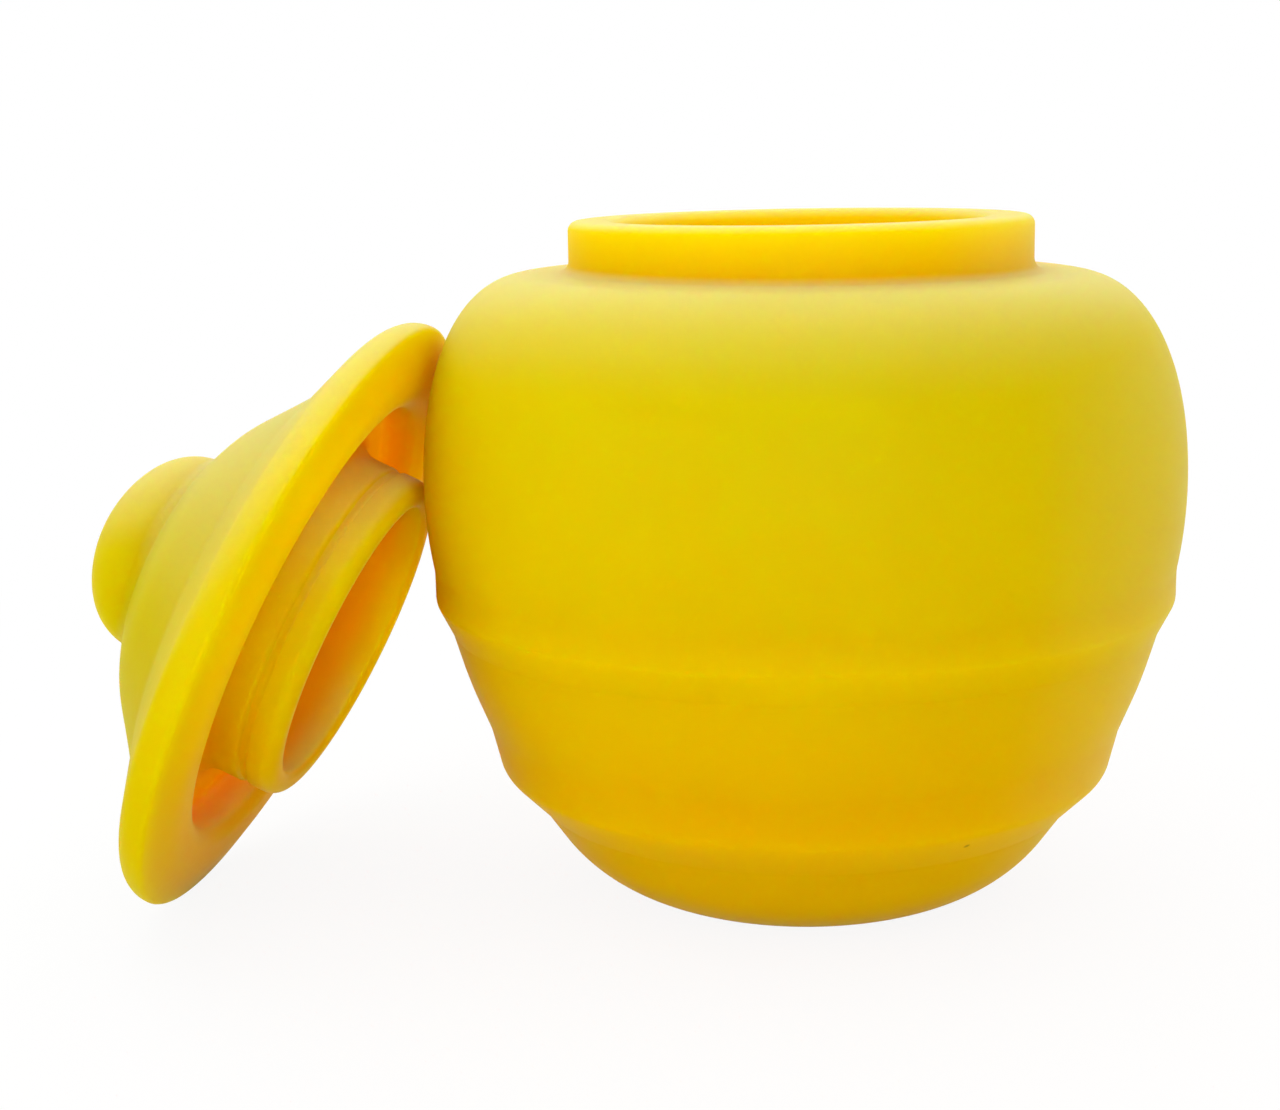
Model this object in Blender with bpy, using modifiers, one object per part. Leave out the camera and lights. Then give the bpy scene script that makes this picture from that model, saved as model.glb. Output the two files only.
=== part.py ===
"""Silicone honey jar: a barrel-bellied jar and its plug lid, which leans against it.

Each of the two pieces is one moulding, turned about its own axis. Sizes below are in millimetres.
The jar stands on the table at the origin with +Z up. The lid's own frame starts on its seat, the
plane that rests on the jar's rim when the jar is shut, with +Z towards the knob.
"""
import math

import bpy
from mathutils import Euler, Matrix, Vector
from mathutils.geometry import interpolate_bezier

MM = 0.001

# The jar's heights, each stretch measured from the end of the one below it
UNDERSIDE_RISE = 14.2
LOWER_SHELF_RISE = 5.3
LOWER_FACE_RISE = 6.5
MIDDLE_RISE = 14.6
UPPER_SHELF_RISE = 4.4
UPPER_FACE_RISE = 4.3
BELLY_RISE = 12.2
SHOULDER_RISE = 30.0
NECK_HEIGHT = 7.4

# The jar's radii, and how far each stretch below the belly draws in
BELLY_RADIUS = 55.0
BELLY_CURVE = 65.0
UPPER_SHELF_DEPTH = 2.2
MIDDLE_TAPER = 5.1
MIDDLE_BULGE = 0.4
LOWER_FACE_TAPER = 1.6
LOWER_SHELF_DEPTH = 5.3
UNDERSIDE_TAPER = 9.8
NECK_RADIUS = 33.2
LEDGE_WIDTH = 6.3
LEDGE_FALL = 0.3
SHOULDER_SWEEP = 9.5
BELLY_SWEEP = 17.2

# The jar's walls
WALL = 5.0
NECK_WALL = 7.2

# The jar's rounded edges
UNDERSIDE_ROUND = 23.0
BAND_FOOT_ROUND = 2.5
LOWER_BAND_ROUND = 4.0
UPPER_BAND_ROUND = 2.4
BAND_TOP_ROUND = 8.0
NECK_FOOT_ROUND = 1.6
RIM_OUTER_ROUND = 1.4
RIM_INNER_ROUND = 2.0
BORE_FOOT_ROUND = 1.5
SKIN_ROUND = 20.0

# What the lid keeps clear of when it is on the jar
PLUG_CLEARANCE = 0.6
LIP_CLEARANCE = 0.6
LIP_ROOM = 0.5

# The lid, outside
LIP_THICKNESS = 12.9
DOME_INSET = 0.6
SEAT_THICKNESS = 4.4
FLANGE_FALL = 5.8
DOME_RISE = 11.3
DOME_SWELL = 9.6
KNOB_RADIUS = 15.3
KNOB_HEIGHT = 11.8
KNOB_CROWN = 5.0
KNOB_SIDE = 9.2
KNOB_DRAFT = 0.6

# The lid, underneath
PLUG_LENGTH = 13.4
PLUG_WALL = 4.0
PLUG_COLLAR = 7.6
PLUG_WAIST = 1.6
WAIST_DEPTH = 0.4
HOLLOW_RISE = 10.0

# The lid's rounded edges
DOME_FOOT_ROUND = 4.0
KNOB_FOOT_ROUND = 1.2
FLANGE_TOP_ROUND = 2.6
FLANGE_EDGE_ROUND = 4.2
LIP_ROUND = 1.4
GROOVE_ROUND = 2.0
PLUG_ROOT_ROUND = 1.2
WAIST_ROUND = 0.7
PLUG_END_ROUND = 1.8
PLUG_BORE_ROUND = 1.2

# How the lid leans on the jar's left side
LEAN_TILT = 65.2
LEAN_SWING = 5.9
LEAN_ASIDE = -7.7
LEAN_GAP = 0.3

# How finely the curves are divided
RING_STEPS = 56
CHORD_ERROR = 0.12
SHOULDER_POINTS = 10
INNER_SHOULDER_POINTS = 6
KNOB_POINTS = 9
DOME_POINTS = 6
HOLLOW_POINTS = 6
FILLET_SHARE = 0.75

# Points of a turned section that lie this close together, in metres, are joined
MERGE_DISTANCE = 0.00001

JAR_COLOUR = (0.79, 0.53, 0.012, 1.0)
LID_COLOUR = (0.80, 0.56, 0.016, 1.0)
SILICONE_ROUGHNESS = 0.55

# Heights above the table, added up from the stretches
BAND_FOOT_LOW = UNDERSIDE_RISE
BAND_EDGE_LOW = BAND_FOOT_LOW + LOWER_SHELF_RISE
BAND_TOP_LOW = BAND_EDGE_LOW + LOWER_FACE_RISE
BAND_FOOT_HIGH = BAND_TOP_LOW + MIDDLE_RISE
BAND_EDGE_HIGH = BAND_FOOT_HIGH + UPPER_SHELF_RISE
BAND_TOP_HIGH = BAND_EDGE_HIGH + UPPER_FACE_RISE
BELLY_HEIGHT = BAND_TOP_HIGH + BELLY_RISE
SHOULDER_HEIGHT = BELLY_HEIGHT + SHOULDER_RISE
JAR_HEIGHT = SHOULDER_HEIGHT + NECK_HEIGHT


def belly_radius(height):
    """Radius of the belly's lower half, a circular arc that is widest at BELLY_HEIGHT."""
    below = BELLY_HEIGHT - height
    return BELLY_RADIUS - BELLY_CURVE + math.sqrt(BELLY_CURVE ** 2 - below ** 2)


# Radii at the ends of those stretches, from the belly down
FACE_RADIUS_HIGH = belly_radius(BAND_TOP_HIGH)
FOOT_RADIUS_HIGH = FACE_RADIUS_HIGH - UPPER_SHELF_DEPTH
TOP_RADIUS_LOW = FOOT_RADIUS_HIGH - MIDDLE_TAPER
EDGE_RADIUS_LOW = TOP_RADIUS_LOW - LOWER_FACE_TAPER
FOOT_RADIUS_LOW = EDGE_RADIUS_LOW - LOWER_SHELF_DEPTH
UNDERSIDE_RADIUS = FOOT_RADIUS_LOW - UNDERSIDE_TAPER
LEDGE_RADIUS = NECK_RADIUS + LEDGE_WIDTH
BORE_RADIUS = NECK_RADIUS - NECK_WALL

# The lid's radii, which follow the neck that it fits
PLUG_RADIUS = BORE_RADIUS - PLUG_CLEARANCE
HOLLOW_RADIUS = PLUG_RADIUS - PLUG_WALL
LIP_RADIUS = NECK_RADIUS + LIP_ROOM
FLANGE_RADIUS = LIP_RADIUS + LIP_THICKNESS
DOME_RADIUS = LIP_RADIUS - DOME_INSET
LIP_DROP = NECK_HEIGHT - LIP_CLEARANCE
KNOB_FOOT = SEAT_THICKNESS + DOME_RISE
KNOB_TOP = KNOB_FOOT + KNOB_HEIGHT


def arc_steps(radius, turn):
    """How many chords keep an arc of this radius and turn within CHORD_ERROR."""
    flatness = max(0.0, 1.0 - CHORD_ERROR / radius)
    return math.ceil(turn / (2 * math.acos(flatness)))


def rounded(corners):
    """Path through corners (radius, height, fillet), with a circular arc of the fillet's radius at each.

    A fillet is limited so that its arc stays within the stretches that meet there.
    """
    points = [Vector(corner[:2]) for corner in corners]
    path = [points[0]]
    taken = 0.0
    for index in range(1, len(points) - 1):
        back = points[index - 1] - points[index]
        ahead = points[index + 1] - points[index]
        turn = math.pi - back.angle(ahead)
        room = FILLET_SHARE * min(back.length - taken, ahead.length)
        taken = min(corners[index][2] * math.tan(turn / 2), room)
        start = points[index] + back.normalized() * taken
        bisector = (back.normalized() + ahead.normalized()).normalized()
        middle = points[index] + bisector * taken / math.sin(turn / 2)
        side = -math.copysign(1.0, back.cross(ahead))
        steps = arc_steps(taken / math.tan(turn / 2), turn)
        for step in range(steps + 1):
            swing = Matrix.Rotation(side * turn * step / steps, 2)
            path.append(middle + swing @ (start - middle))
    path.append(points[-1])
    return path


def curve(start, start_handle, end_handle, end, count):
    """Points along one cubic Bezier curve, both ends included."""
    corners = [Vector((*point, 0.0)) for point in (start, start_handle, end_handle, end)]
    return [point.to_2d() for point in interpolate_bezier(*corners, count)]


def inset(path, distance):
    """The path moved sideways to its left, which is towards the jar's axis on a path that climbs."""
    moved = []
    for index, point in enumerate(path):
        along = path[min(index + 1, len(path) - 1)] - path[max(index - 1, 0)]
        moved.append(point + Vector((-along.y, along.x)).normalized() * distance)
    return moved


def belly_and_shoulder(count):
    """The jar's side from just above the upper band to the ledge round the neck."""
    heights = [BAND_TOP_HIGH + BELLY_RISE * step / 3 for step in (1, 2)]
    belly = [Vector((belly_radius(height), height)) for height in heights]
    ledge_height = SHOULDER_HEIGHT - LEDGE_FALL
    shoulder = curve(
        (BELLY_RADIUS, BELLY_HEIGHT),
        (BELLY_RADIUS, BELLY_HEIGHT + BELLY_SWEEP),
        (LEDGE_RADIUS + SHOULDER_SWEEP, ledge_height - LEDGE_FALL),
        (LEDGE_RADIUS, ledge_height),
        count,
    )
    return belly + shoulder


def jar_outside():
    """The jar's outer side, from the axis under its base up to the ledge round the neck."""
    side = belly_and_shoulder(SHOULDER_POINTS)
    middle = (
        (TOP_RADIUS_LOW + FOOT_RADIUS_HIGH) / 2 + MIDDLE_BULGE,
        (BAND_TOP_LOW + BAND_FOOT_HIGH) / 2,
    )
    corners = [
        (0.0, 0.0, 0.0),
        (UNDERSIDE_RADIUS, 0.0, UNDERSIDE_ROUND),
        (FOOT_RADIUS_LOW, BAND_FOOT_LOW, BAND_FOOT_ROUND),
        (EDGE_RADIUS_LOW, BAND_EDGE_LOW, LOWER_BAND_ROUND),
        (TOP_RADIUS_LOW, BAND_TOP_LOW, BAND_TOP_ROUND),
        (*middle, BELLY_CURVE),
        (FOOT_RADIUS_HIGH, BAND_FOOT_HIGH, BAND_FOOT_ROUND),
        (FACE_RADIUS_HIGH, BAND_EDGE_HIGH, UPPER_BAND_ROUND),
        (FACE_RADIUS_HIGH, BAND_TOP_HIGH, BAND_TOP_ROUND),
        (*side[0], 0.0),
    ]
    return rounded(corners) + side[1:]


def jar_inside():
    """The cavity's side from the axis on its floor up to the underside of the shoulder."""
    side = belly_and_shoulder(INNER_SHOULDER_POINTS)
    skin = rounded([
        (0.0, 0.0, 0.0),
        (UNDERSIDE_RADIUS, 0.0, UNDERSIDE_ROUND),
        (FOOT_RADIUS_LOW, BAND_FOOT_LOW, SKIN_ROUND),
        (FOOT_RADIUS_HIGH, BAND_FOOT_HIGH, SKIN_ROUND),
        (*side[0], 0.0),
    ])
    return inset(skin + side[1:], WALL)


def jar_profile():
    """The jar's half section: up the inside, over the rim and down the outside."""
    inside = jar_inside()
    outside = jar_outside()
    neck = rounded([
        (*inside[-1], 0.0),
        (BORE_RADIUS, SHOULDER_HEIGHT - WALL, BORE_FOOT_ROUND),
        (BORE_RADIUS, JAR_HEIGHT, RIM_INNER_ROUND),
        (NECK_RADIUS, JAR_HEIGHT, RIM_OUTER_ROUND),
        (NECK_RADIUS, SHOULDER_HEIGHT, NECK_FOOT_ROUND),
        (*outside[-1], 0.0),
    ])
    return inside + neck[1:-1] + outside[::-1]


def lid_outside():
    """The lid from the middle of its knob, over the dome, to the flange's widest ring."""
    knob = curve(
        (0.0, KNOB_TOP),
        (KNOB_CROWN, KNOB_TOP),
        (KNOB_RADIUS - KNOB_DRAFT, KNOB_FOOT + KNOB_SIDE),
        (KNOB_RADIUS, KNOB_FOOT + KNOB_FOOT_ROUND),
        KNOB_POINTS,
    )
    dome_handle = DOME_SWELL / math.hypot(DOME_SWELL, DOME_RISE)
    dome = curve(
        (KNOB_RADIUS + KNOB_FOOT_ROUND, KNOB_FOOT),
        (KNOB_RADIUS + DOME_SWELL, KNOB_FOOT - DOME_RISE * dome_handle / 2),
        (DOME_RADIUS - DOME_SWELL, SEAT_THICKNESS + DOME_RISE * dome_handle),
        (DOME_RADIUS, SEAT_THICKNESS),
        DOME_POINTS,
    )
    return knob + dome


def lid_profile():
    """The lid's half section: down the outside, round the lip and the plug, and up the hollow."""
    outside = lid_outside()
    waist_top = -PLUG_COLLAR
    waist_foot = waist_top - PLUG_WAIST
    underside = rounded([
        (*outside[-2], 0.0),
        (DOME_RADIUS, SEAT_THICKNESS, DOME_FOOT_ROUND),
        (FLANGE_RADIUS, SEAT_THICKNESS - FLANGE_FALL, FLANGE_TOP_ROUND),
        (FLANGE_RADIUS, -LIP_DROP, FLANGE_EDGE_ROUND),
        (LIP_RADIUS, -LIP_DROP, LIP_ROUND),
        (LIP_RADIUS, 0.0, GROOVE_ROUND),
        (PLUG_RADIUS, 0.0, PLUG_ROOT_ROUND),
        (PLUG_RADIUS, waist_top, WAIST_ROUND),
        (PLUG_RADIUS - WAIST_DEPTH, waist_top - WAIST_DEPTH, WAIST_ROUND),
        (PLUG_RADIUS - WAIST_DEPTH, waist_foot + WAIST_DEPTH, WAIST_ROUND),
        (PLUG_RADIUS, waist_foot, WAIST_ROUND),
        (PLUG_RADIUS, -PLUG_LENGTH, PLUG_END_ROUND),
        (HOLLOW_RADIUS, -PLUG_LENGTH, PLUG_BORE_ROUND),
        (HOLLOW_RADIUS, 0.0, 0.0),
    ])
    hollow = curve(
        (HOLLOW_RADIUS, 0.0),
        (HOLLOW_RADIUS, HOLLOW_RISE / 2),
        (HOLLOW_RADIUS / 2, HOLLOW_RISE),
        (0.0, HOLLOW_RISE),
        HOLLOW_POINTS,
    )
    return outside[:-1] + underside[1:-1] + hollow


def reach_above(path, height):
    """The widest radius that a path has at a height or anywhere above it."""
    widest = 0.0
    for low, high in zip(path, path[1:]):
        if high.y >= height:
            share = max(0.0, (height - low.y) / (high.y - low.y)) if high.y > low.y else 1.0
            widest = max(widest, low.x + (high.x - low.x) * share, high.x)
    return widest


def lean_place(profile):
    """Where the leaning lid's seat centre lies: its lowest point on the table, its side at the jar.

    The lid clears the jar by LEAN_GAP where it leans, and keeps that while it is lifted straight up.
    """
    turn = Euler((0.0, math.radians(LEAN_TILT), math.pi - math.radians(LEAN_SWING))).to_matrix()
    angles = [2 * math.pi * step / RING_STEPS for step in range(RING_STEPS)]
    surface = [
        turn @ Vector((point.x * math.cos(angle), point.x * math.sin(angle), point.y))
        for point in profile
        for angle in angles
    ]
    height = -min(point.z for point in surface)
    jar_side = jar_outside() + [Vector((NECK_RADIUS, SHOULDER_HEIGHT)), Vector((NECK_RADIUS, JAR_HEIGHT))]
    nearest = math.inf
    for point in surface:
        clear = reach_above(jar_side, point.z + height) + LEAN_GAP
        aside = point.y + LEAN_ASIDE
        if abs(aside) < clear:
            nearest = min(nearest, -math.sqrt(clear ** 2 - aside ** 2) - point.x)
    return Vector((nearest, LEAN_ASIDE, height)), turn


def silicone(name, colour):
    """Matte, slightly soft-looking silicone."""
    material = bpy.data.materials.new(name)
    material.use_nodes = True
    shader = material.node_tree.nodes["Principled BSDF"]
    shader.inputs["Base Color"].default_value = colour
    shader.inputs["Roughness"].default_value = SILICONE_ROUGHNESS
    shader.inputs["Metallic"].default_value = 0.0
    material.diffuse_color = colour
    return material


def turned(name, profile, material, collection):
    """One solid turned about its own Z axis from a half section."""
    mesh = bpy.data.meshes.new(name)
    points = [(point.x * MM, 0.0, point.y * MM) for point in profile]
    edges = [(index, index + 1) for index in range(len(points) - 1)]
    mesh.from_pydata(points, edges, [])
    mesh.materials.append(material)
    piece = bpy.data.objects.new(name, mesh)
    collection.objects.link(piece)
    screw = piece.modifiers.new("turn", "SCREW")
    screw.axis = "Z"
    screw.angle = 2 * math.pi
    screw.steps = RING_STEPS
    screw.render_steps = RING_STEPS
    screw.use_merge_vertices = True
    screw.merge_threshold = MERGE_DISTANCE
    screw.use_smooth_shade = True
    return piece


def build():
    for old in list(bpy.data.objects):
        bpy.data.objects.remove(old, do_unlink=True)
    collection = bpy.data.collections.new("honey_jar")
    bpy.context.scene.collection.children.link(collection)

    turned("jar", jar_profile(), silicone("jar_silicone", JAR_COLOUR), collection)

    lid_section = lid_profile()
    lid = turned("lid", lid_section, silicone("lid_silicone", LID_COLOUR), collection)
    place, turn = lean_place(lid_section)
    lean = bpy.data.objects.new("lid_lean", None)
    collection.objects.link(lean)
    lean.location = place * MM
    lean.rotation_euler = turn.to_euler()
    lid.parent = lean


build()
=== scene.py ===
"""Silicone honey jar, dressed: fine turned surfaces, soft silicone and a plain stage.

Both pieces are mouldings turned about their own axes. Their sizes are in metres. The jar stands at the
origin with +Z up. The lid is made in its own frame, with its seat at height 0 and +Z towards the knob,
and is then leaned to where the frame holds it.
"""
import math

import bpy
import numpy as np
from mathutils import Euler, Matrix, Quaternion, Vector


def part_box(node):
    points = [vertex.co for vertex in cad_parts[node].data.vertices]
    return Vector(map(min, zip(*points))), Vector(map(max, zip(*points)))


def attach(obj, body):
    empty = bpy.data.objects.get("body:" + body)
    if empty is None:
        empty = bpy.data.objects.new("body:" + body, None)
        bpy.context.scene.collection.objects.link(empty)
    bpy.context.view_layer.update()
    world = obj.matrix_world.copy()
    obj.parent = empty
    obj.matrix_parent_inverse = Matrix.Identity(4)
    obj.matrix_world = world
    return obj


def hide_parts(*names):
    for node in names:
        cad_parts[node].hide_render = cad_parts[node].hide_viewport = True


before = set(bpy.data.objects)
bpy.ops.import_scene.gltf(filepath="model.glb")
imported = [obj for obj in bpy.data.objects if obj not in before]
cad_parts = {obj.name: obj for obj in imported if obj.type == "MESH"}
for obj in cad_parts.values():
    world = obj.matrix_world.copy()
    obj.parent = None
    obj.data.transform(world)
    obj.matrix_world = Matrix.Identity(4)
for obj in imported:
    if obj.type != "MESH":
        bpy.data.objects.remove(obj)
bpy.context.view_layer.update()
JAR_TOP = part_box("jar")[1].z
LID_LOW, LID_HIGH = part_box("lid")

bl_info = {
    "name": "Silicone honey jar",
    "version": (1, 0, 0),
    "blender": (4, 5, 0),
    "location": "View3D > Sidebar > Honey jar",
    "description": "Builds a silicone honey jar with its plug lid leaning on its side",
    "category": "Add Mesh",
}

MM = 0.001

# The jar's roundings and small steps
UNDERSIDE_ROUND = 23.0 * MM
BAND_FOOT_ROUND = 2.5 * MM
LOWER_BAND_ROUND = 4.0 * MM
UPPER_BAND_ROUND = 2.4 * MM
BAND_TOP_ROUND = 8.0 * MM
NECK_FOOT_ROUND = 1.6 * MM
RIM_OUTER_ROUND = 1.4 * MM
RIM_INNER_ROUND = 2.0 * MM
BORE_FOOT_ROUND = 1.5 * MM
SKIN_ROUND = 20.0 * MM
MIDDLE_BULGE = 0.4 * MM
LEDGE_FALL = 0.3 * MM
NECK_FIRM = 4.0 * MM
SHOULDER_SWEEP = 9.5 * MM
BELLY_SWEEP = 17.2 * MM

# The lid's roundings and small steps
DOME_FOOT_ROUND = 8.0 * MM
KNOB_FOOT_ROUND = 1.2 * MM
KNOB_DRAFT = 0.6 * MM
FLANGE_TOP_ROUND = 4.0 * MM
FLANGE_EDGE_FALL = 1.8 * MM
FLANGE_EDGE_SWEEP = 6.5 * MM
FLANGE_EDGE_ROUND = 4.2 * MM
FLANGE_FACE_ROUND = 14.0 * MM
LIP_ROUND = 3.0 * MM
LIP_FLARE = 0.2 * MM
GROOVE_LEVEL = 1.8 * MM
GROOVE_SIDE_ROUND = 3.0 * MM
GROOVE_ROUND = 3.6 * MM
PLUG_ROOT_ROUND = 4.2 * MM
WAIST_DEPTH = 0.4 * MM
WAIST_ROUND = 1.6 * MM
PLUG_END_ROUND = 2.2 * MM
PLUG_BORE_ROUND = 1.2 * MM

# How finely the sections and the rings are divided
FILLET_SHARE = 0.75
FILLET_STEPS = 3
FINE = 0.4 * MM
STRIDE = 1.6 * MM
HIDDEN_STRIDE = 3.0 * MM
CURVE_POINTS = 48
JAR_RING = 330
LID_RING = 360
FRONT_LEAN = 0.35

# Painted shade in the jar's bore and in the lid's hollow, groove and plug, coloured as light let through
# the silicone, and the fade of the lid's underside colours, as shares and as distances over which they fade
INSIDE_SHARE = 0.4
INSIDE_START = 2.0 * MM
INSIDE_END = 26.0 * MM
UNDER_FADE = 12.0 * MM
HOLLOW_FADE = 7.0 * MM
HOLLOW_EDGE = 0.1 * MM
GROOVE_SHARE = 0.5
GROOVE_TOP = 1.0 * MM
GROOVE_INNER = 1.0 * MM
GROOVE_OUTER = 0.5 * MM
OUTER_SHARE = 0.35

# The silicone's patterns, its painted sheen on what faces up or to the right, and its shine
CLOUD_SCALE = 42.0
CLOUD_DETAIL = 2.0
CLOUD_SHIFT = 30.0 * MM
CLOUD_MATTE = 0.06
GRAIN_SCALE = 2600.0
GRAIN_DETAIL = 2.0
DUST_SCALE = 700.0
DUST_DETAIL = 3.0
DUST_MATTE = 0.08
DUST_BUMP = 2.0
BUMP_STRENGTH = 0.12
BUMP_DISTANCE = 0.06 * MM
PAINTED_SHEEN_START = 0.3
PAINTED_SHEEN_RIGHT = 0.62
REFRACTION = 1.41
SHINE = 0.02
FORWARD_GLOW = 0.3

# The nick low on the jar's belly
NICK_PLACE = (21.8 * MM, -36.9 * MM, 17.45 * MM)
NICK_CORE = 0.15 * MM
NICK_EDGE = 0.6 * MM
NICK_SHARE = 0.7
NICK_TINT = (0.25, 0.12, 0.0)

# The floor, the room's light and the camera's near end, in metres where they are lengths
FLOOR_HALF = 3.0
FLOOR_CLEAR = 0.06
FLOOR_FADE = 0.28
FLOOR_SHOW = 0.9
ROOM_LIGHT = 0.66
WHITE = (1.0, 1.0, 1.0, 1.0)
NEAR_CLIP = 0.01

# The lamps: name, place, what it looks at, size, power in watts and spread in degrees
MIDDLE = (0.0, 0.0, 0.05)
PLUG_FACE = (-0.052, -0.03, 0.062)
LAMPS = (
    ("top_light", (-0.03, -0.1, 0.75), MIDDLE, (0.7, 0.6), 1.6, 180),
    ("back_light", (-0.05, 0.6, 0.55), MIDDLE, (1.4, 0.5), 2.6, 180),
    ("near_light", (0.02, -0.40, 0.12), MIDDLE, (0.24, 0.16), 0.34, 180),
    ("left_light", (-0.40, -0.40, 0.16), MIDDLE, (0.3, 0.3), 0.47, 180),
    ("lid_light", (0.16, -0.55, 0.10), PLUG_FACE, (0.10, 0.10), 0.007, 10),
)


def length(name, description, default):
    """A size in metres, with a default that is given in millimetres."""
    return bpy.props.FloatProperty(
        name=name, description=description, default=default * MM, min=0.0, unit="LENGTH", precision=5
    )


def angle(name, description, default):
    """An angle, with a default that is given in degrees."""
    return bpy.props.FloatProperty(
        name=name, description=description, default=math.radians(default), subtype="ANGLE"
    )


def amount(name, description, default):
    """A share from 0 to 1."""
    return bpy.props.FloatProperty(name=name, description=description, default=default, min=0.0, max=1.0)


def colour(name, description, default):
    """A colour in linear red, green and blue."""
    return bpy.props.FloatVectorProperty(
        name=name, description=description, default=default, size=3, min=0.0, max=1.0, subtype="COLOR"
    )


class JarSizes(bpy.types.PropertyGroup):
    """The jar's sizes. Heights are stretches, each measured from the end of the one below it."""

    underside_rise: length("Underside", "Height of the rounded underside", 14.2)
    lower_shelf_rise: length("Lower shelf", "Height of the slope under the lower band", 5.3)
    lower_face_rise: length("Lower band", "Height of the lower band's face", 6.5)
    middle_rise: length("Middle", "Height from the lower band to the foot of the upper one", 14.6)
    upper_shelf_rise: length("Upper shelf", "Height of the slope under the upper band", 4.4)
    upper_face_rise: length("Upper band", "Height of the upper band's face", 4.3)
    belly_rise: length("Belly", "Height from the upper band to the widest place", 12.2)
    shoulder_rise: length("Shoulder", "Height from the widest place to the neck's foot", 30.0)
    neck_height: length("Neck", "Height of the neck", 7.4)
    belly_radius: length("Belly radius", "Radius at the widest place", 55.0)
    belly_curve: length("Belly curve", "Radius of the belly's lower curve, seen from the side", 65.0)
    upper_shelf_depth: length("Upper step", "How far the upper band stands out", 2.2)
    middle_taper: length("Middle taper", "How far the middle draws in", 5.1)
    lower_face_taper: length("Lower band taper", "How far the lower band's face draws in", 1.6)
    lower_shelf_depth: length("Lower step", "How far the slope under the lower band draws in", 5.3)
    underside_taper: length("Underside taper", "How far the underside draws in", 9.8)
    neck_radius: length("Neck radius", "Outer radius of the neck", 33.2)
    neck_wall: length("Neck wall", "Thickness of the neck's wall", 7.2)
    wall: length("Wall", "Thickness of the jar's wall", 5.0)
    ledge_width: length("Ledge", "Width of the flat ledge round the neck", 6.3)
    sag: length("Sag", "How far the soft shoulder rises on its left and drops on its right", 0.5)


class LidSizes(bpy.types.PropertyGroup):
    """The lid's sizes. What fits the jar's neck follows the jar's sizes and these clearances."""

    plug_clearance: length("Plug clearance", "Room between the plug and the neck's bore", 0.6)
    lip_clearance: length("Lip clearance", "Room between the lip and the ledge", 0.6)
    lip_room: length("Lip room", "Room between the neck and the lip", 0.5)
    lip_thickness: length("Lip thickness", "Thickness of the lip", 12.9)
    dome_inset: length("Dome inset", "How far inside the lip the dome's foot lies", 0.6)
    seat_thickness: length("Seat thickness", "Thickness of the lid over the neck", 4.4)
    flange_fall: length("Flange fall", "How far the flange slopes down to its edge", 5.8)
    dome_rise: length("Dome rise", "Height of the dome", 11.3)
    dome_swell: length("Dome swell", "How far the dome's slope is drawn out at its ends", 9.6)
    knob_radius: length("Knob radius", "Radius at the knob's foot", 15.3)
    knob_height: length("Knob height", "Height of the knob", 11.8)
    knob_crown: length("Knob crown", "How flat the knob's crown is", 5.0)
    knob_side: length("Knob side", "How straight the knob's side is", 9.2)
    plug_length: length("Plug length", "Length of the plug under the seat", 13.4)
    plug_wall: length("Plug wall", "Thickness of the plug's wall", 4.0)
    plug_collar: length("Plug collar", "Length of the plug's full-width collar", 7.6)
    plug_waist: length("Plug waist", "Length of the plug's waist", 1.6)
    hollow_rise: length("Hollow rise", "How far the hollow's ceiling rises over the seat", 10.0)
    tilt: angle("Tilt", "How far the lid leans over", 65.2)
    swing: angle("Swing", "How far the leaning lid is turned towards the viewer", 5.9)


class Finish(bpy.types.PropertyGroup):
    """The silicone's look."""

    # Painted shade: the jar's colour is darker and more orange at its foot than at its rim, where less
    # light reaches.
    high: colour("Jar's upper colour", "Colour at the jar's rim", (0.95, 0.48, 0.0))
    low: colour("Jar's lower colour", "Colour at the jar's foot", (0.75, 0.355, 0.0))
    # Painted shade: the lid is the same silicone as the jar, painted darker on its outside for the stronger
    # light on it, and darker again low down.
    lid_high: colour("Lid's upper colour", "Colour high on the leaning lid's outside", (0.49, 0.43, 0.0))
    lid_low: colour("Lid's lower colour", "Colour low on the leaning lid's outside", (0.40, 0.33, 0.0))
    # Painted light and shade: the lid's underside is painted brighter high up, as light let through the
    # silicone, and darker low down.
    under_high: colour("Upper underside", "Colour high on the leaning lid's underside", (0.98, 0.66, 0.0))
    under_low: colour("Lower underside", "Colour low on the leaning lid's underside", (0.54, 0.33, 0.0))
    # Painted shade in the hollows, coloured as light that has passed through the silicone.
    hollow_shade: colour("Deep colour", "Colour in the hollows, lit through the silicone", (0.94, 0.29, 0.0))
    glow: colour("Glow", "How far each colour of light wanders in the silicone", (1.0, 0.4, 0.05))
    glow_depth: length("Glow depth", "How far light wanders in the silicone", 50.0)
    # Painted sheen: a pale colour mixed in where a surface faces up, and on the jar where it faces right,
    # for the lamps' reflected haze.
    dust_and_sheen: colour("Bloom colour", "Colour of the pale bloom on what faces up", (0.88, 0.80, 0.50))
    painted_sheen: amount("Bloom", "How strong the bloom is where a surface faces straight up", 0.2)
    roughness: amount("Roughness", "How matte the silicone is", 0.46)


class Stage(bpy.types.PropertyGroup):
    """The camera, the floor and the lights."""

    camera_distance: length("Camera distance", "From the jar's axis to the camera", 301.5)
    camera_height: length("Camera height", "Height of the camera over the table", 110.8)
    yaw: angle("Yaw", "How far the camera turns to the right", -4.52)
    pitch: angle("Pitch", "How far the camera looks down", 11.45)
    roll: angle("Roll", "How far the camera rolls", -1.15)
    lens: length("Lens", "Focal length", 58.35)
    floor_colour: colour("Floor colour", "Colour of the floor", (0.93, 0.93, 0.93))


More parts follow.
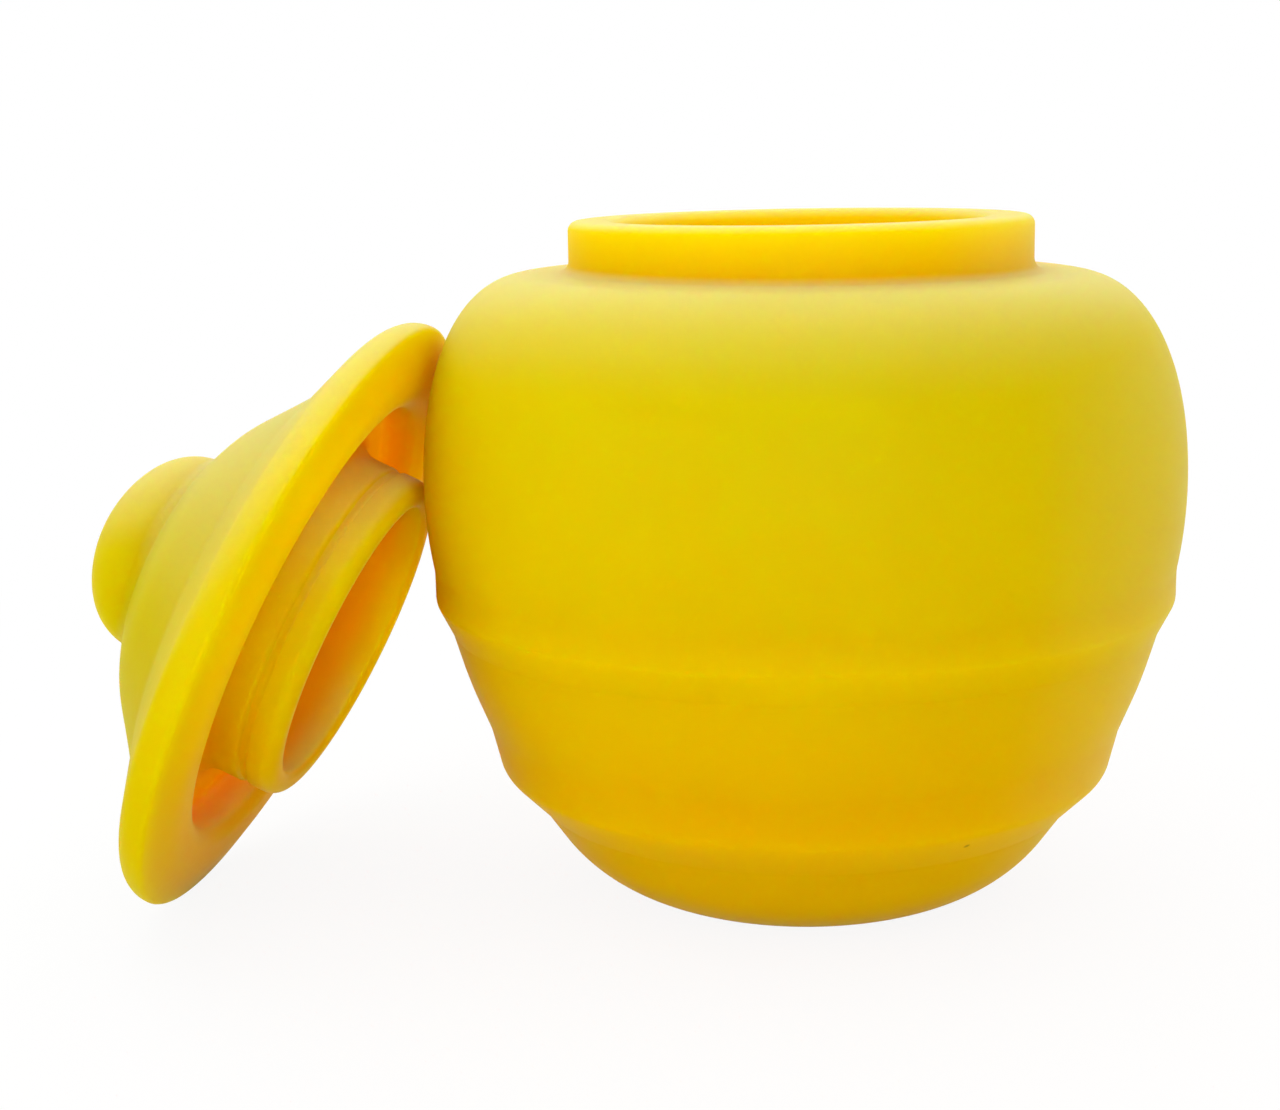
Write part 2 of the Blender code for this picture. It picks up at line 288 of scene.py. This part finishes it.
class Wire:
    """A shader socket on which maths is written as Python expressions."""

    def __init__(self, graph, socket):
        self.graph = graph
        self.socket = socket

    def maths(self, operation, *values):
        return self.graph.wire("ShaderNodeMath", {"operation": operation}, dict(enumerate(values)))

    def __add__(self, other):
        return self.maths("ADD", self, other)

    def __sub__(self, other):
        return self.maths("SUBTRACT", self, other)

    def __rsub__(self, other):
        return self.maths("SUBTRACT", other, self)

    def __mul__(self, other):
        return self.maths("MULTIPLY", self, other)

    __radd__ = __add__
    __rmul__ = __mul__

    def ramp(self, start, end):
        """0 below start, 1 above end and smooth between them."""
        return self.graph.wire(
            "ShaderNodeMapRange",
            {"interpolation_type": "SMOOTHSTEP"},
            {"Value": self, "From Min": start, "From Max": end},
        )


class Graph:
    """The nodes of one material or world."""

    def __init__(self, tree):
        self.tree = tree
        tree.nodes.clear()

    def node(self, kind, settings=None, values=None):
        """One node, with its settings and then the values or links of its sockets."""
        made = self.tree.nodes.new(kind)
        for key, setting in (settings or {}).items():
            setattr(made, key, setting)
        for key, value in (values or {}).items():
            if isinstance(value, Wire):
                self.tree.links.new(value.socket, made.inputs[key])
            else:
                made.inputs[key].default_value = value
        return made

    def wire(self, kind, settings=None, values=None, output=0):
        """The output of a new node, as a Wire."""
        return Wire(self, self.node(kind, settings, values).outputs[output])

    def mix(self, factor, first, second):
        """Two colours mixed by a factor. Either may be a link or a plain colour."""
        sides = [value if isinstance(value, Wire) else (*value, 1.0) for value in (first, second)]
        sockets = {"Factor": factor, 6: sides[0], 7: sides[1]}
        return self.wire("ShaderNodeMix", {"data_type": "RGBA"}, sockets, output=2)

    def noise(self, place, scale, detail):
        """Noise from 0 to 1 that reads a place in metres."""
        return self.wire("ShaderNodeTexNoise", values={"Vector": place, "Scale": scale, "Detail": detail})

    def mark(self, name):
        """The value of an attribute of the mesh."""
        return self.wire("ShaderNodeAttribute", {"attribute_name": name}, output=2)


def blend(values, start, end):
    """Smooth step of an array: 0 below start, 1 above end, 3 t^2 - 2 t^3 between them."""
    share = np.clip((values - start) / (end - start), 0.0, 1.0)
    return share * share * (3.0 - 2.0 * share)


def rounded(corners, spacing):
    """Path through corners (radius, height, fillet), with a circular arc at each corner.

    The arc touches both stretches at the tangent length, fillet times the tangent of half the turn,
    and is divided into equal steps of about the spacing. A fillet is limited by the shorter stretch.
    """
    points = np.array([corner[:2] for corner in corners], float)
    path = [points[:1]]
    taken = 0.0
    for index in range(1, len(points) - 1):
        back = points[index - 1] - points[index]
        ahead = points[index + 1] - points[index]
        back_length = np.hypot(*back)
        ahead_length = np.hypot(*ahead)
        back = back / back_length
        ahead = ahead / ahead_length
        turn = math.pi - math.acos(np.clip(back @ ahead, -1.0, 1.0))
        room = FILLET_SHARE * min(back_length - taken, ahead_length)
        taken = min(corners[index][2] * math.tan(turn / 2), room)
        radius = taken / math.tan(turn / 2)
        count = max(FILLET_STEPS, math.ceil(radius * turn / spacing))
        middle = points[index] + (back + ahead) / np.hypot(*(back + ahead)) * taken / math.sin(turn / 2)
        start = points[index] + back * taken - middle
        side = -math.copysign(1.0, back[0] * ahead[1] - back[1] * ahead[0])
        swing = side * np.linspace(0.0, turn, count + 1)
        across = np.cos(swing) * start[0] - np.sin(swing) * start[1]
        along = np.sin(swing) * start[0] + np.cos(swing) * start[1]
        path.append(middle + np.column_stack([across, along]))
    path.append(points[-1:])
    return np.vstack(path)


def bezier(start, start_handle, end_handle, end, count):
    """Cubic Bezier curve: the four corners weighted by (1-t)^3, 3t(1-t)^2, 3t^2(1-t) and t^3."""
    t = np.linspace(0.0, 1.0, count)[:, None]
    corners = [np.array(point) for point in (start, start_handle, end_handle, end)]
    weights = ((1 - t) ** 3, 3 * t * (1 - t) ** 2, 3 * t ** 2 * (1 - t), t ** 3)
    return sum(weight * corner for weight, corner in zip(weights, corners))


def spaced(path, spacing):
    """The path with its long stretches divided, so that no step is longer than the spacing."""
    steps = np.hypot(*np.diff(path, axis=0).T)
    counts = np.maximum(1, np.ceil(steps / spacing).astype(int))
    starts = np.repeat(path[:-1], counts, axis=0)
    moves = np.repeat(np.diff(path, axis=0) / counts[:, None], counts, axis=0)
    within = np.arange(counts.sum()) - np.repeat(np.cumsum(counts) - counts, counts)
    return np.vstack([starts + moves * within[:, None], path[-1:]])


def inset(path, distance):
    """The path moved sideways to its left, square to the line between each point's neighbours."""
    along = np.gradient(path, axis=0)
    left = np.column_stack([-along[:, 1], along[:, 0]])
    return path + left / np.hypot(*left.T)[:, None] * distance


def ring_angles(count, lean):
    """Angles round the axis, closer together at the front (-Y) by the share that lean gives."""
    even = np.arange(count) * 2 * math.pi / count
    return even - lean * np.sin(even) - math.pi / 2


def turned(name, profile, angles, shape=None, marks=None):
    """Surface (r cos a, r sin a, z) for each profile point (r, z) and each angle a, closed at both poles.

    shape(points, profile points) may move the grid's points, and marks holds named values for each
    profile point, which become attributes of the mesh.
    """
    rings = profile[1:-1]
    radius, height = rings[:, 0][:, None], rings[:, 1][:, None]
    grid = np.stack(
        [radius * np.cos(angles), radius * np.sin(angles), height + np.zeros_like(angles)], axis=-1
    )
    if shape is not None:
        grid = shape(grid, rings)
    poles = [[0.0, 0.0, profile[0, 1]], [0.0, 0.0, profile[-1, 1]]]
    points = np.vstack([grid.reshape(-1, 3), poles])
    count, around = len(rings), len(angles)
    number = np.arange(count * around).reshape(count, around)
    after = np.roll(number, -1, axis=1)
    quads = np.stack([number[:-1], number[1:], after[1:], after[:-1]], axis=-1).reshape(-1, 4)
    first_fan = np.column_stack([np.full(around, count * around), number[0], after[0]])
    last_fan = np.column_stack([np.full(around, count * around + 1), after[-1], number[-1]])
    mesh = bpy.data.meshes.new(name)
    mesh.from_pydata(points.tolist(), [], quads.tolist() + first_fan.tolist() + last_fan.tolist())
    for mark, values in (marks or {}).items():
        along = np.append(np.repeat(values[1:-1], around), [values[0], values[-1]])
        attribute = mesh.attributes.new(mark, "FLOAT", "POINT")
        attribute.data.foreach_set("value", along.astype(np.float32))
    mesh.shade_smooth()
    piece = bpy.data.objects.new(name, mesh)
    bpy.context.scene.collection.objects.link(piece)
    return piece


def jar_heights(sizes):
    """Heights over the table at the ends of the stretches, from the underside to the rim."""
    stretches = (
        sizes.underside_rise,
        sizes.lower_shelf_rise,
        sizes.lower_face_rise,
        sizes.middle_rise,
        sizes.upper_shelf_rise,
        sizes.upper_face_rise,
        sizes.belly_rise,
        sizes.shoulder_rise,
        sizes.neck_height,
    )
    return np.cumsum(stretches)


def belly_radius(sizes, height, widest):
    """Radius on the belly's lower half: a circular arc of radius belly_curve, widest at that height."""
    return sizes.belly_radius - sizes.belly_curve + np.sqrt(sizes.belly_curve ** 2 - (widest - height) ** 2)


def belly_and_shoulder(sizes):
    """The jar's side from just above the upper band to the ledge round the neck."""
    band_top, widest, shoulder = jar_heights(sizes)[5:8]
    heights = np.linspace(band_top, widest, CURVE_POINTS // 4)[1:-1]
    belly = np.column_stack([belly_radius(sizes, heights, widest), heights])
    ledge = (sizes.neck_radius + sizes.ledge_width, shoulder - LEDGE_FALL)
    side = bezier(
        (sizes.belly_radius, widest),
        (sizes.belly_radius, widest + BELLY_SWEEP),
        (ledge[0] + SHOULDER_SWEEP, ledge[1] - LEDGE_FALL),
        ledge,
        CURVE_POINTS,
    )
    return np.vstack([belly, side])


def jar_profile(sizes):
    """The jar's half section: from the axis on its floor up the inside, over the rim and down outside.

    Also gives the number of the point at which its neck starts.
    """
    heights = jar_heights(sizes)
    foot_low, edge_low, top_low, foot_high, edge_high, top_high, widest, shoulder, rim = heights
    face = belly_radius(sizes, top_high, widest)
    foot_face = face - sizes.upper_shelf_depth
    top_radius = foot_face - sizes.middle_taper
    edge_radius = top_radius - sizes.lower_face_taper
    foot_radius = edge_radius - sizes.lower_shelf_depth
    underside = foot_radius - sizes.underside_taper
    bore = sizes.neck_radius - sizes.neck_wall
    middle = ((top_radius + foot_face) / 2 + MIDDLE_BULGE, (top_low + foot_high) / 2)
    side = belly_and_shoulder(sizes)
    outside = rounded([
        (0.0, 0.0, 0.0),
        (underside, 0.0, UNDERSIDE_ROUND),
        (foot_radius, foot_low, BAND_FOOT_ROUND),
        (edge_radius, edge_low, LOWER_BAND_ROUND),
        (top_radius, top_low, BAND_TOP_ROUND),
        (*middle, sizes.belly_curve),
        (foot_face, foot_high, BAND_FOOT_ROUND),
        (face, edge_high, UPPER_BAND_ROUND),
        (face, top_high, BAND_TOP_ROUND),
        (*side[0], 0.0),
    ], FINE)
    skin = rounded([
        (0.0, 0.0, 0.0),
        (underside, 0.0, UNDERSIDE_ROUND),
        (foot_radius, foot_low, SKIN_ROUND),
        (foot_face, foot_high, SKIN_ROUND),
        (*side[0], 0.0),
    ], HIDDEN_STRIDE)
    inside = inset(spaced(np.vstack([skin, side[1::4]]), HIDDEN_STRIDE), sizes.wall)
    inside[0, 0] = 0.0
    neck = rounded([
        (*inside[-1], 0.0),
        (bore, shoulder - sizes.wall, BORE_FOOT_ROUND),
        (bore, rim, RIM_INNER_ROUND),
        (sizes.neck_radius, rim, RIM_OUTER_ROUND),
        (sizes.neck_radius, shoulder, NECK_FOOT_ROUND),
        (*side[-1], 0.0),
    ], FINE)
    outer = np.vstack([outside, side[1:]])[::-1]
    return np.vstack([inside[:-1], spaced(neck, STRIDE)[:-1], spaced(outer, STRIDE)]), len(inside)


def shoulder_lean(sizes):
    """How the soft shoulder leans: lower by sag times x / belly radius, and not where the neck is firm."""
    heights = jar_heights(sizes)
    widest, shoulder = heights[6], heights[7]

    def lean(grid, rings):
        level = rings[:, 1]
        share = blend(level, widest, shoulder) * blend(-level, -shoulder - NECK_FIRM, -shoulder)
        grid[..., 2] -= sizes.sag * share[:, None] * grid[..., 0] / sizes.belly_radius
        return grid

    return lean


def jar_marks(profile, neck_start):
    """The attribute depth at each profile point, the share of painted shade: it grows down the inside and
    is 0 on the outside.
    """
    rim = neck_start + int(np.argmax(profile[neck_start:, 1]))
    depth = INSIDE_SHARE * blend(profile[rim, 1] - profile[:, 1], INSIDE_START, INSIDE_END)
    depth[rim:] = 0.0
    return {"depth": depth}


def lid_radii(jar, sizes):
    """Radii of the hollow, the plug and the lip's inner side, from the neck's sizes and the clearances."""
    plug = jar.neck_radius - jar.neck_wall - sizes.plug_clearance
    return plug - sizes.plug_wall, plug, jar.neck_radius + sizes.lip_room


def lid_profile(jar, sizes):
    """The lid's half section: down the outside, round the lip and the plug, and up the hollow."""
    hollow, plug, lip = lid_radii(jar, sizes)
    flange = lip + sizes.lip_thickness
    dome_radius = lip - sizes.dome_inset
    lip_drop = jar.neck_height - sizes.lip_clearance
    knob_foot = sizes.seat_thickness + sizes.dome_rise
    knob_top = knob_foot + sizes.knob_height
    waist_top = -sizes.plug_collar
    waist_foot = waist_top - sizes.plug_waist
    knob = bezier(
        (0.0, knob_top),
        (sizes.knob_crown, knob_top),
        (sizes.knob_radius - KNOB_DRAFT, knob_foot + sizes.knob_side),
        (sizes.knob_radius, knob_foot + KNOB_FOOT_ROUND),
        CURVE_POINTS,
    )
    handle = sizes.dome_swell / math.hypot(sizes.dome_swell, sizes.dome_rise)
    dome = bezier(
        (sizes.knob_radius + KNOB_FOOT_ROUND, knob_foot),
        (sizes.knob_radius + sizes.dome_swell, knob_foot - sizes.dome_rise * handle / 2),
        (dome_radius - sizes.dome_swell, sizes.seat_thickness + sizes.dome_rise * handle),
        (dome_radius, sizes.seat_thickness),
        CURVE_POINTS // 2,
    )
    lower = rounded([
        (*dome[-2], 0.0),
        (dome_radius, sizes.seat_thickness, DOME_FOOT_ROUND),
        (flange, sizes.seat_thickness - sizes.flange_fall, FLANGE_TOP_ROUND),
        (flange, FLANGE_EDGE_FALL - lip_drop, FLANGE_EDGE_ROUND),
        (flange - FLANGE_EDGE_SWEEP, -lip_drop, FLANGE_FACE_ROUND),
        (lip + LIP_FLARE, -lip_drop, LIP_ROUND),
        (lip, -GROOVE_LEVEL, GROOVE_SIDE_ROUND),
        (lip, 0.0, GROOVE_ROUND),
        (plug, 0.0, PLUG_ROOT_ROUND),
        (plug, waist_top, WAIST_ROUND),
        (plug - WAIST_DEPTH, waist_top - WAIST_DEPTH, WAIST_ROUND),
        (plug - WAIST_DEPTH, waist_foot + WAIST_DEPTH, WAIST_ROUND),
        (plug, waist_foot, WAIST_ROUND),
        (plug, -sizes.plug_length, PLUG_END_ROUND),
        (hollow, -sizes.plug_length, PLUG_BORE_ROUND),
        (hollow, 0.0, 0.0),
    ], FINE)
    ceiling = bezier(
        (hollow, 0.0),
        (hollow, sizes.hollow_rise / 2),
        (hollow / 2, sizes.hollow_rise),
        (0.0, sizes.hollow_rise),
        CURVE_POINTS // 2,
    )
    path = np.vstack([knob[:-1], dome[:-2], lower, ceiling[1:]])
    return spaced(path, STRIDE)


def lid_marks(profile, jar, sizes):
    """The attributes under and depth at each profile point.

    under is 0 on the outside and grows to 1 from the widest place inwards, towards the underside's painted
    light and shade. depth, the share of painted shade, is the strongest of three shares: in the hollow, in
    the groove towards its top, and between the hollow and the lip.
    """
    hollow, plug, lip = lid_radii(jar, sizes)
    radius, height = profile.T
    past_widest = np.arange(len(profile)) > np.argmax(radius)
    under = past_widest * blend(radius.max() - radius, 0.0, UNDER_FADE)
    end = -sizes.plug_length
    inside = blend(height, end, end + HOLLOW_FADE) * (radius < hollow + HOLLOW_EDGE)
    in_groove = (radius > plug - GROOVE_INNER) * (radius < lip + GROOVE_OUTER)
    groove = GROOVE_SHARE * blend(height, -jar.neck_height, -GROOVE_TOP) * in_groove
    outer = OUTER_SHARE * (radius > hollow + HOLLOW_EDGE) * (radius < lip)
    return {"depth": under * np.maximum.reduce([inside, groove, outer]), "under": under}


def lean_in_box(mesh, turn, low, high):
    """Turns the mesh, then centres it in a box and stands it on the box's floor.

    Where it is larger than the box, it is made smaller by the same factor on all sides.
    """
    mesh.transform(turn.to_4x4())
    corners = np.empty(len(mesh.vertices) * 3, np.float32)
    mesh.vertices.foreach_get("co", corners)
    corners = corners.reshape(-1, 3)
    least, most = corners.min(0), corners.max(0)
    fit = min(1.0, np.min(np.array(high - low) / (most - least)))
    corners = (corners - (least + most) / 2) * fit + np.array((low + high) / 2)
    corners[:, 2] += low.z - corners[:, 2].min()
    mesh.vertices.foreach_set("co", corners.ravel())
    mesh.update()


def silicone(name, finish, outside, underside, top):
    """Matte silicone that light wanders in, with painted shade in its hollows and a painted sheen on top.

    outside and underside each hold a colour at height 0 and one at the height top, the lower one darker as
    painted shade. The attribute under mixes the two pairs, depth mixes in the painted shade of the hollows,
    and facing says where the painted sheen lies.
    """
    material = bpy.data.materials.new(name)
    material.use_nodes = True
    graph = Graph(material.node_tree)
    place = graph.wire("ShaderNodeTexCoord", output=3)
    height = graph.wire("ShaderNodeSeparateXYZ", values={0: place}, output=2)
    cloud = graph.noise(place, CLOUD_SCALE, CLOUD_DETAIL)
    grain = graph.noise(place, GRAIN_SCALE, GRAIN_DETAIL)
    dust_and_sheen = graph.noise(place, DUST_SCALE, DUST_DETAIL)
    # Painted shade: the colours grow darker towards the bottom, with the cloud noise blurring the change.
    rise = (height + (cloud - 0.5) * CLOUD_SHIFT).ramp(0.0, top)
    under = graph.mark("under")
    low = graph.mix(under, tuple(outside[0]), tuple(underside[0]))
    high = graph.mix(under, tuple(outside[1]), tuple(underside[1]))
    body = graph.mix(rise, low, high)
    # Painted sheen: the pale colour mixed in where the surface faces up and, on the jar, to the right.
    painted_sheen = graph.mark("facing").ramp(PAINTED_SHEEN_START, 1.0) * finish.painted_sheen
    with_painted_sheen = graph.mix(painted_sheen, body, tuple(finish.dust_and_sheen))
    # Painted shade in the hollows, coloured as light let through the silicone.
    hollow_shaded = graph.mix(graph.mark("depth"), with_painted_sheen, tuple(finish.hollow_shade))
    sockets = {0: place, 1: NICK_PLACE}
    away = graph.wire("ShaderNodeVectorMath", {"operation": "DISTANCE"}, sockets, output=1)
    nick = (1.0 - away.ramp(NICK_CORE, NICK_EDGE)) * NICK_SHARE
    tint = graph.mix(nick, hollow_shaded, NICK_TINT)
    rough = finish.roughness + (cloud - 0.5) * CLOUD_MATTE + (dust_and_sheen - 0.5) * DUST_MATTE
    bump = graph.wire(
        "ShaderNodeBump",
        values={"Strength": BUMP_STRENGTH, "Distance": BUMP_DISTANCE, "Height": grain + dust_and_sheen * DUST_BUMP},
    )
    shader = graph.wire(
        "ShaderNodeBsdfPrincipled",
        {"subsurface_method": "RANDOM_WALK"},
        {
            "Base Color": tint,
            "Roughness": rough,
            "Normal": bump,
            "IOR": REFRACTION,
            "Specular IOR Level": SHINE,
            "Subsurface Weight": 1.0,
            "Subsurface Radius": tuple(finish.glow),
            "Subsurface Scale": finish.glow_depth,
            "Subsurface Anisotropy": FORWARD_GLOW,
        },
    )
    graph.node("ShaderNodeOutputMaterial", values={"Surface": shader})
    return material


def dress(piece, node, material, aside):
    """The piece gets its material, rides on its body and stands for its CAD node.

    The attribute facing is the upward part of each point's normal, or aside times its part to the
    right where that is more; it says where the painted sheen lies.
    """
    normals = np.empty(len(piece.data.vertices) * 3, np.float32)
    piece.data.vertex_normals.foreach_get("vector", normals)
    facing = piece.data.attributes.new("facing", "FLOAT", "POINT")
    normals = normals.reshape(-1, 3)
    facing.data.foreach_set("value", np.maximum(normals[:, 2], normals[:, 0] * aside))
    piece.data.materials.append(material)
    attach(piece, f"{node}_body")
    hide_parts(node)


class HONEY_JAR_OT_jar(bpy.types.Operator):
    """Make the jar: a round belly with two stepped bands, a shoulder and a short neck"""

    bl_idname = "honey_jar.jar"
    bl_label = "Jar"

    def execute(self, context):
        sizes = context.scene.honey_jar_sizes
        profile, neck_start = jar_profile(sizes)
        around = ring_angles(JAR_RING, FRONT_LEAN)
        marks = jar_marks(profile, neck_start)
        piece = turned("jar_shell", profile, around, shoulder_lean(sizes), marks)
        finish = context.scene.honey_jar_finish
        tints = (finish.low, finish.high)
        material = silicone("soft_jar_silicone", finish, tints, tints, JAR_TOP)
        dress(piece, "jar", material, PAINTED_SHEEN_RIGHT)
        return {"FINISHED"}


class HONEY_JAR_OT_lid(bpy.types.Operator):
    """Make the lid: knob, dome, flange, lip and hollow plug, leaned on the jar's side"""

    bl_idname = "honey_jar.lid"
    bl_label = "Lid"

    def execute(self, context):
        sizes = context.scene.honey_jar_lid
        jar = context.scene.honey_jar_sizes
        profile = lid_profile(jar, sizes)
        marks = lid_marks(profile, jar, sizes)
        piece = turned("lid_shell", profile, ring_angles(LID_RING, 0.0), marks=marks)
        turn = Euler((0.0, sizes.tilt, math.pi - sizes.swing)).to_matrix()
        lean_in_box(piece.data, turn, LID_LOW, LID_HIGH)
        finish = context.scene.honey_jar_finish
        outside = (finish.lid_low, finish.lid_high)
        underside = (finish.under_low, finish.under_high)
        material = silicone("soft_lid_silicone", finish, outside, underside, LID_HIGH.z)
        dress(piece, "lid", material, 0.0)
        return {"FINISHED"}


def panel_light(name, place, aim, size, power, spread):
    """A soft rectangular lamp that looks at a point, with its spread in degrees."""
    lamp = bpy.data.lights.new(name, "AREA")
    lamp.shape = "RECTANGLE"
    lamp.size, lamp.size_y = size
    lamp.energy = power
    lamp.spread = math.radians(spread)
    holder = bpy.data.objects.new(name, lamp)
    holder.location = place
    holder.rotation_euler = (Vector(aim) - Vector(place)).to_track_quat("-Z", "Y").to_euler()
    bpy.context.scene.collection.objects.link(holder)


def background_rays(graph):
    """1 for the rays that see or mirror the background, 0 for those that light the object."""
    rays = graph.node("ShaderNodeLightPath").outputs
    seen, mirrored, through = (
        Wire(graph, rays[name]) for name in ("Is Camera Ray", "Is Glossy Ray", "Is Transmission Ray")
    )
    return seen.maths("MAXIMUM", seen, mirrored.maths("MAXIMUM", mirrored, through))


def floor_material(tint):
    """Pale floor that keeps the shadow near the object and fades to white further out."""
    material = bpy.data.materials.new("pale_floor")
    material.use_nodes = True
    graph = Graph(material.node_tree)
    place = graph.wire("ShaderNodeTexCoord", output=3)
    far = graph.wire("ShaderNodeVectorMath", {"operation": "LENGTH"}, {0: place}, output=1)
    seen = background_rays(graph)
    fade = far.ramp(FLOOR_CLEAR, FLOOR_FADE) * (1 - FLOOR_SHOW) + FLOOR_SHOW
    matte = graph.wire("ShaderNodeBsdfDiffuse", values={"Color": (*tint, 1.0)})
    white = graph.wire("ShaderNodeEmission", values={"Color": WHITE, "Strength": 1.0})
    mixed = graph.wire("ShaderNodeMixShader", values={0: seen * fade, 1: matte, 2: white})
    graph.node("ShaderNodeOutputMaterial", values={"Surface": mixed})
    return material


class HONEY_JAR_OT_stage(bpy.types.Operator):
    """Make the floor, the soft light and the camera"""

    bl_idname = "honey_jar.stage"
    bl_label = "Stage"

    def execute(self, context):
        stage = context.scene.honey_jar_stage
        sides = ((-1, -1), (1, -1), (1, 1), (-1, 1))
        corners = [(x * FLOOR_HALF, y * FLOOR_HALF, 0.0) for x, y in sides]
        mesh = bpy.data.meshes.new("floor")
        mesh.from_pydata(corners, [], [(0, 1, 2, 3)])
        floor = bpy.data.objects.new("floor", mesh)
        floor.data.materials.append(floor_material(tuple(stage.floor_colour)))
        context.scene.collection.objects.link(floor)

        world = bpy.data.worlds.new("soft_room")
        context.scene.world = world
        world.use_nodes = True
        graph = Graph(world.node_tree)
        strength = background_rays(graph) * (1.0 - ROOM_LIGHT) + ROOM_LIGHT
        sky = graph.wire("ShaderNodeBackground", values={"Color": WHITE, "Strength": strength})
        graph.node("ShaderNodeOutputWorld", values={"Surface": sky})

        for lamp in LAMPS:
            panel_light(*lamp)

        lens = bpy.data.cameras.new("camera")
        lens.lens = stage.lens / MM
        lens.clip_start = NEAR_CLIP
        camera = bpy.data.objects.new("camera", lens)
        context.scene.collection.objects.link(camera)
        camera.location = (0.0, -stage.camera_distance, stage.camera_height)
        ahead = Vector((
            math.sin(stage.yaw) * math.cos(stage.pitch),
            math.cos(stage.yaw) * math.cos(stage.pitch),
            -math.sin(stage.pitch),
        ))
        turn = ahead.to_track_quat("-Z", "Y") @ Quaternion((0.0, 0.0, 1.0), stage.roll)
        camera.rotation_euler = turn.to_euler()
        context.scene.camera = camera
        context.scene.view_settings.view_transform = "Standard"
        return {"FINISHED"}


class HONEY_JAR_PT_panel(bpy.types.Panel):
    """Lists the operators that make the pieces, and their sizes and colours"""

    bl_idname = "HONEY_JAR_PT_panel"
    bl_label = "Silicone honey jar"
    bl_space_type = "VIEW_3D"
    bl_region_type = "UI"
    bl_category = "Honey jar"

    def draw(self, context):
        for operator in OPERATORS:
            self.layout.operator(operator.bl_idname)
        for holder in SETTINGS:
            group = getattr(context.scene, holder)
            box = self.layout.box()
            for field in group.bl_rna.properties:
                if field.identifier not in ("name", "rna_type"):
                    box.prop(group, field.identifier)


OPERATORS = (HONEY_JAR_OT_jar, HONEY_JAR_OT_lid, HONEY_JAR_OT_stage)
SETTINGS = {
    "honey_jar_sizes": JarSizes,
    "honey_jar_lid": LidSizes,
    "honey_jar_finish": Finish,
    "honey_jar_stage": Stage,
}


def register():
    for group in SETTINGS.values():
        bpy.utils.register_class(group)
    for holder, group in SETTINGS.items():
        setattr(bpy.types.Scene, holder, bpy.props.PointerProperty(type=group))
    for item in (*OPERATORS, HONEY_JAR_PT_panel):
        bpy.utils.register_class(item)


def unregister():
    for item in (HONEY_JAR_PT_panel, *reversed(OPERATORS)):
        bpy.utils.unregister_class(item)
    for holder, group in SETTINGS.items():
        delattr(bpy.types.Scene, holder)
        bpy.utils.unregister_class(group)


def main():
    register()
    bpy.ops.honey_jar.jar()
    bpy.ops.honey_jar.lid()
    bpy.ops.honey_jar.stage()


if __name__ == "__main__":
    main()
